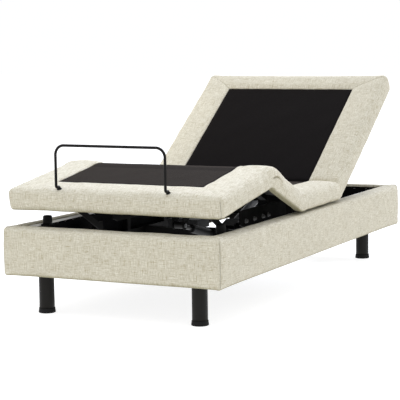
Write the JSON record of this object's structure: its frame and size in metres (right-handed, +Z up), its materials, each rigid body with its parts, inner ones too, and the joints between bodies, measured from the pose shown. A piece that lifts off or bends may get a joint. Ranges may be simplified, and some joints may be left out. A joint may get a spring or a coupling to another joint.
{
  "type": "adjustable bed base",
  "caption": "Upholstered adjustable bed base: padded surround on round legs, jointed deck with raised head and knee, black non-slip panels and a mattress retainer bar.",
  "frame": {"origin": "on the floor under the middle of the base", "axes": "+X across the bed to its left-hand side as a sleeper lies, +Y from the foot end to the head end, +Z up"},
  "size_m": [0.965, 2.06, 0.902],
  "materials": {
    "linen_fabric": "slubby woven linen look",
    "non_slip_fabric": "black non-slip weave",
    "lining_fabric": "thin black lining cloth",
    "pale_strip": "painted pale",
    "wood": "raw plywood",
    "deck_board": "black-faced plywood",
    "black_rubber": "matt",
    "black_plastic": "fine moulded grain",
    "bright_steel": "zinc plated",
    "black_steel": "satin black powder coat"
  },
  "bodies": {
    "base": {"left_rail_cover": "linen_fabric", "right_rail_cover": "linen_fabric", "foot_rail_cover": "linen_fabric", "head_rail_cover": "linen_fabric", "rail_boards": "wood", "inner_lining": "lining_fabric", "ledger_strips": "pale_strip", "left_side_tube": "black_steel", "right_side_tube": "black_steel", "foot_cross_tube": "black_steel", "middle_cross_tube": "black_steel", "head_cross_tube": "black_steel", "rail_brackets": "black_steel", "leg_plates": "black_steel", "foot_left_leg": "black_steel", "foot_right_leg": "black_steel", "head_left_leg": "black_steel", "head_right_leg": "black_steel", "leg_studs": "bright_steel", "leg_feet": "black_rubber", "seat_posts": "black_steel", "bumper_brackets": "black_steel", "rubber_bumpers": "black_rubber", "link_guides": "black_steel", "control_box": "black_plastic", "power_supply": "black_plastic", "power_inlet": "black_plastic", "seat_cover": "linen_fabric", "seat_panel": "non_slip_fabric", "seat_board": "deck_board", "seat_frame": "black_steel", "actuator_base_pins": "bright_steel", "head_hinge_pins": "bright_steel", "thigh_hinge_pins": "bright_steel"},
    "head_section": {"head_cover": "linen_fabric", "head_panel": "non_slip_fabric", "head_board": "deck_board", "head_frame": "black_steel", "head_lever_pin": "bright_steel"},
    "thigh_section": {"thigh_cover": "linen_fabric", "thigh_panel": "non_slip_fabric", "thigh_board": "deck_board", "thigh_frame": "black_steel", "thigh_lever_pin": "bright_steel", "knee_hinge_pins": "bright_steel"},
    "foot_section": {"foot_cover": "linen_fabric", "foot_panel": "non_slip_fabric", "foot_board": "deck_board", "foot_frame": "black_steel", "retainer_bar": "black_steel", "bar_sockets": "black_rubber"},
    "foot_link": {"foot_links": "black_steel"},
    "head_actuator": {"head_gearbox": "black_plastic", "head_motor": "black_plastic", "head_outer_tube": "bright_steel"},
    "head_actuator_rod": {"head_rod": "bright_steel"},
    "leg_actuator": {"leg_gearbox": "black_plastic", "leg_motor": "black_plastic", "leg_outer_tube": "bright_steel"},
    "leg_actuator_rod": {"leg_rod": "bright_steel"}
  },
  "joints": [
    {"name": "head_hinge", "type": "hinge", "parent": "base", "child": "head_section", "pos_m": [0, 0.224, 0.43], "axis": [1, 0, 0], "range_deg": [-34.5, 25.5]},
    {"name": "thigh_hinge", "type": "hinge", "parent": "base", "child": "thigh_section", "pos_m": [0, -0.19, 0.43], "axis": [-1, 0, 0], "range_deg": [-22.3, 20]},
    {"name": "knee_hinge", "type": "hinge", "parent": "thigh_section", "child": "foot_section", "pos_m": [0, -0.5207, 0.49862], "axis": [1, 0, 0], "range_deg": [-30.91, 27.72]},
    {"name": "foot_link_pivot", "type": "hinge", "parent": "foot_section", "child": "foot_link", "pos_m": [0, -0.84878, 0.46114], "axis": [-1, 0, 0], "range_deg": [-24.02, 21.54]},
    {"name": "head_actuator_pivot", "type": "hinge", "parent": "base", "child": "head_actuator", "pos_m": [0, 0.045, 0.215], "axis": [1, 0, 0], "range_deg": [-17.26, 12.76]},
    {"name": "head_rod_pivot", "type": "hinge", "parent": "head_section", "child": "head_actuator_rod", "pos_m": [0, 0.49849, 0.37597], "axis": [1, 0, 0], "range_deg": [-12.76, 17.26]},
    {"name": "leg_actuator_pivot", "type": "hinge", "parent": "base", "child": "leg_actuator", "pos_m": [0, -0.045, 0.215], "axis": [-1, 0, 0], "range_deg": [-11.16, 10.01]},
    {"name": "leg_rod_pivot", "type": "hinge", "parent": "thigh_section", "child": "leg_actuator_rod", "pos_m": [0, -0.41862, 0.3076], "axis": [-1, 0, 0], "range_deg": [-10.01, 11.16]}
  ],
  "couplings": [
    {"joint": "knee_hinge", "follows": "thigh_hinge", "ratio": 1.3857},
    {"joint": "foot_link_pivot", "follows": "thigh_hinge", "ratio": 1.0767},
    {"joint": "leg_actuator_pivot", "follows": "thigh_hinge", "ratio": 0.5},
    {"joint": "leg_rod_pivot", "follows": "thigh_hinge", "ratio": -0.5},
    {"joint": "head_actuator_pivot", "follows": "head_hinge", "ratio": 0.5},
    {"joint": "head_rod_pivot", "follows": "head_hinge", "ratio": -0.5}
  ]
}
